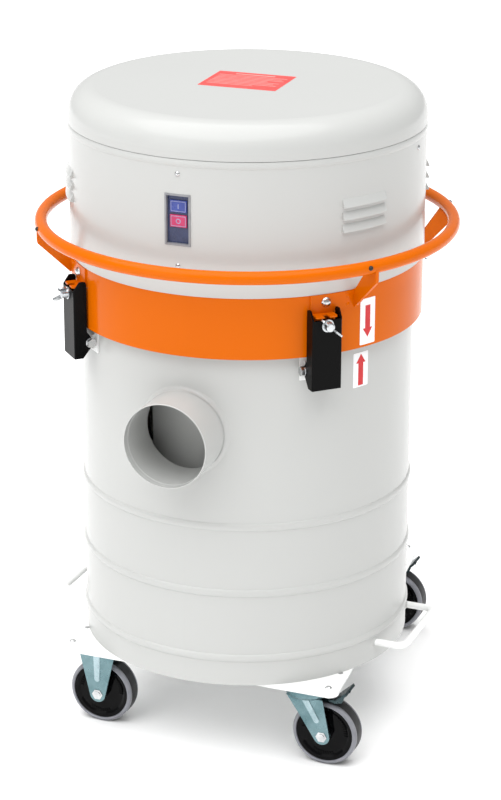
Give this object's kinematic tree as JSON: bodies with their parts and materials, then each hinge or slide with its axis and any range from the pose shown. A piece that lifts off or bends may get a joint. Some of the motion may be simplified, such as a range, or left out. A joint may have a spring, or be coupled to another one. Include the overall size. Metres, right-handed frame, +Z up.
{
  "type": "drum dust collector",
  "caption": "Round steel dust drum on casters with a lift-off blower head, side inlet spigot, ring handle, side clamps and a push-button switch.",
  "frame": {"origin": "on the floor, under the axis of the drum", "axes": "+Z up along the drum's axis, -Y out of the hose inlet and past the switch, +X to the right seen from the inlet side"},
  "size_m": [0.6211, 0.668, 0.971],
  "materials": {
    "drum_enamel": "glossy off-white enamel",
    "head_enamel": "glossy off-white enamel",
    "base_enamel": "glossy white enamel",
    "orange_enamel": "glossy orange enamel",
    "bolt_zinc": "bright zinc plate",
    "wing_zinc": "cast, bright zinc plate",
    "caster_zinc": "blue-passivated zinc plate",
    "hub_black": "black moulded nylon",
    "tyre_rubber": "dark rubber tread with a grey shoulder",
    "lever_black": "satin black powder coat",
    "trim_black": "black moulded plastic",
    "gasket_rubber": "soft black sponge rubber",
    "bezel_grey": "grey moulded plastic",
    "switch_navy": "dark blue moulded plastic",
    "button_blue": "blue moulded plastic",
    "button_red": "red moulded plastic",
    "plate_steel": "galvanised sheet",
    "shaft_steel": "ground steel",
    "motor_iron": "grey-blue motor paint on cast iron",
    "impeller_aluminium": "bare aluminium sheet",
    "filter_cloth": "pleated needle felt"
  },
  "bodies": {
    "tank": {"drum_shell": "drum_enamel", "drum_bottom": "drum_enamel", "inlet_spigot": "drum_enamel", "inlet_baffle": "drum_enamel", "base_plate": "base_enamel", "side_handles": "base_enamel", "caster_bolts": "bolt_zinc", "fixed_axles": "bolt_zinc", "swivel_plates": "caster_zinc", "fixed_fork_front": "caster_zinc", "fixed_fork_rear": "caster_zinc", "clamp_pivot_brackets": "base_enamel", "clamp_pivot_bolts": "bolt_zinc"},
    "head": {"head_band": "orange_enamel", "head_plate": "plate_steel", "head_gasket": "gasket_rubber", "handle_ring": "orange_enamel", "strut_brackets": "orange_enamel", "bracket_bolts": "bolt_zinc", "ring_plugs": "trim_black", "blower_housing": "head_enamel", "housing_screws": "bolt_zinc", "top_cap": "head_enamel", "cord_gland": "trim_black", "switch_bezel": "bezel_grey", "switch_body": "switch_navy", "fan_casing": "plate_steel", "motor_plate": "plate_steel", "motor_casing": "motor_iron", "motor_bearings": "shaft_steel", "filter_cartridge": "filter_cloth", "filter_cage": "plate_steel"},
    "rotor": {"motor_shaft": "shaft_steel", "impeller": "impeller_aluminium", "impeller_nut": "shaft_steel"},
    "on_button": {"on_button": "button_blue"},
    "off_button": {"off_button": "button_red"},
    "lever_front_right": {"clamp_lever_front_right": "lever_black"},
    "wing_bolt_front_right": {"wing_bolt_front_right": "wing_zinc"},
    "lever_front_left": {"clamp_lever_front_left": "lever_black"},
    "wing_bolt_front_left": {"wing_bolt_front_left": "wing_zinc"},
    "lever_rear_right": {"clamp_lever_rear_right": "lever_black"},
    "wing_bolt_rear_right": {"wing_bolt_rear_right": "wing_zinc"},
    "lever_rear_left": {"clamp_lever_rear_left": "lever_black"},
    "wing_bolt_rear_left": {"wing_bolt_rear_left": "wing_zinc"},
    "wheel_front_left": {"wheel_hub_front_left": "hub_black", "wheel_tyre_front_left": "tyre_rubber"},
    "wheel_front_right": {"wheel_hub_front_right": "hub_black", "wheel_tyre_front_right": "tyre_rubber"},
    "swivel_front": {"swivel_fork_front": "caster_zinc", "swivel_axle_front": "bolt_zinc"},
    "brake_front": {"brake_pedal_front": "caster_zinc"},
    "wheel_rear_left": {"wheel_hub_rear_left": "hub_black", "wheel_tyre_rear_left": "tyre_rubber"},
    "wheel_rear_right": {"wheel_hub_rear_right": "hub_black", "wheel_tyre_rear_right": "tyre_rubber"},
    "swivel_rear": {"swivel_fork_rear": "caster_zinc", "swivel_axle_rear": "bolt_zinc"},
    "brake_rear": {"brake_pedal_rear": "caster_zinc"}
  },
  "joints": [
    {"name": "head_lift", "type": "slide", "parent": "tank", "child": "head", "axis": [0, 0, 1], "range_m": [0, 0.3]},
    {"name": "clamp_front_right", "type": "hinge", "parent": "tank", "child": "lever_front_right", "pos_m": [0.18031, -0.18031, 0.6183], "axis": [0.7071, 0.7071, 0], "range_deg": [0, 40]},
    {"name": "wing_bolt_front_right_turn", "type": "hinge", "parent": "lever_front_right", "child": "wing_bolt_front_right", "pos_m": [0.19785, -0.19785, 0.6895], "axis": [0.7071, -0.7071, 0], "continuous": true},
    {"name": "clamp_front_left", "type": "hinge", "parent": "tank", "child": "lever_front_left", "pos_m": [-0.18031, -0.18031, 0.6183], "axis": [0.7071, -0.7071, 0], "range_deg": [0, 40]},
    {"name": "wing_bolt_front_left_turn", "type": "hinge", "parent": "lever_front_left", "child": "wing_bolt_front_left", "pos_m": [-0.19785, -0.19785, 0.6895], "axis": [-0.7071, -0.7071, 0], "continuous": true},
    {"name": "clamp_rear_right", "type": "hinge", "parent": "tank", "child": "lever_rear_right", "pos_m": [0.18031, 0.18031, 0.6183], "axis": [-0.7071, 0.7071, 0], "range_deg": [0, 40]},
    {"name": "wing_bolt_rear_right_turn", "type": "hinge", "parent": "lever_rear_right", "child": "wing_bolt_rear_right", "pos_m": [0.19785, 0.19785, 0.6895], "axis": [0.7071, 0.7071, 0], "continuous": true},
    {"name": "clamp_rear_left", "type": "hinge", "parent": "tank", "child": "lever_rear_left", "pos_m": [-0.18031, 0.18031, 0.6183], "axis": [-0.7071, -0.7071, 0], "range_deg": [0, 40]},
    {"name": "wing_bolt_rear_left_turn", "type": "hinge", "parent": "lever_rear_left", "child": "wing_bolt_rear_left", "pos_m": [-0.19785, 0.19785, 0.6895], "axis": [-0.7071, 0.7071, 0], "continuous": true},
    {"name": "wheel_front_left_roll", "type": "hinge", "parent": "tank", "child": "wheel_front_left", "pos_m": [-0.169, -0.16, 0.05], "axis": [0, 1, 0], "continuous": true},
    {"name": "wheel_rear_left_roll", "type": "hinge", "parent": "tank", "child": "wheel_rear_left", "pos_m": [-0.115, 0.318, 0.05], "axis": [0, 1, 0], "continuous": true},
    {"name": "caster_front_swivel", "type": "hinge", "parent": "tank", "child": "swivel_front", "pos_m": [0.164, -0.164, 0.112], "axis": [0, 0, 1], "continuous": true},
    {"name": "wheel_front_right_roll", "type": "hinge", "parent": "swivel_front", "child": "wheel_front_right", "pos_m": [0.194, -0.164, 0.05], "axis": [0, 1, 0], "continuous": true},
    {"name": "brake_front_pedal", "type": "hinge", "parent": "swivel_front", "child": "brake_front", "pos_m": [0.184, -0.164, 0.104], "axis": [0, 1, 0], "range_deg": [0, 5]},
    {"name": "caster_rear_swivel", "type": "hinge", "parent": "tank", "child": "swivel_rear", "pos_m": [0.108, 0.318, 0.112], "axis": [0, 0, 1], "continuous": true},
    {"name": "wheel_rear_right_roll", "type": "hinge", "parent": "swivel_rear", "child": "wheel_rear_right", "pos_m": [0.138, 0.318, 0.05], "axis": [0, 1, 0], "continuous": true},
    {"name": "brake_rear_pedal", "type": "hinge", "parent": "swivel_rear", "child": "brake_rear", "pos_m": [0.128, 0.318, 0.104], "axis": [0, 1, 0], "range_deg": [0, 5]},
    {"name": "fan_spin", "type": "hinge", "parent": "head", "child": "rotor", "pos_m": [0, 0, 0.74], "axis": [0, 0, 1], "continuous": true},
    {"name": "on_press", "type": "slide", "parent": "head", "child": "on_button", "axis": [0, 1, 0], "range_m": [0, 0.003], "stiffness_N_per_m": 400},
    {"name": "off_press", "type": "slide", "parent": "head", "child": "off_button", "axis": [0, 1, 0], "range_m": [0, 0.003], "stiffness_N_per_m": 400}
  ]
}
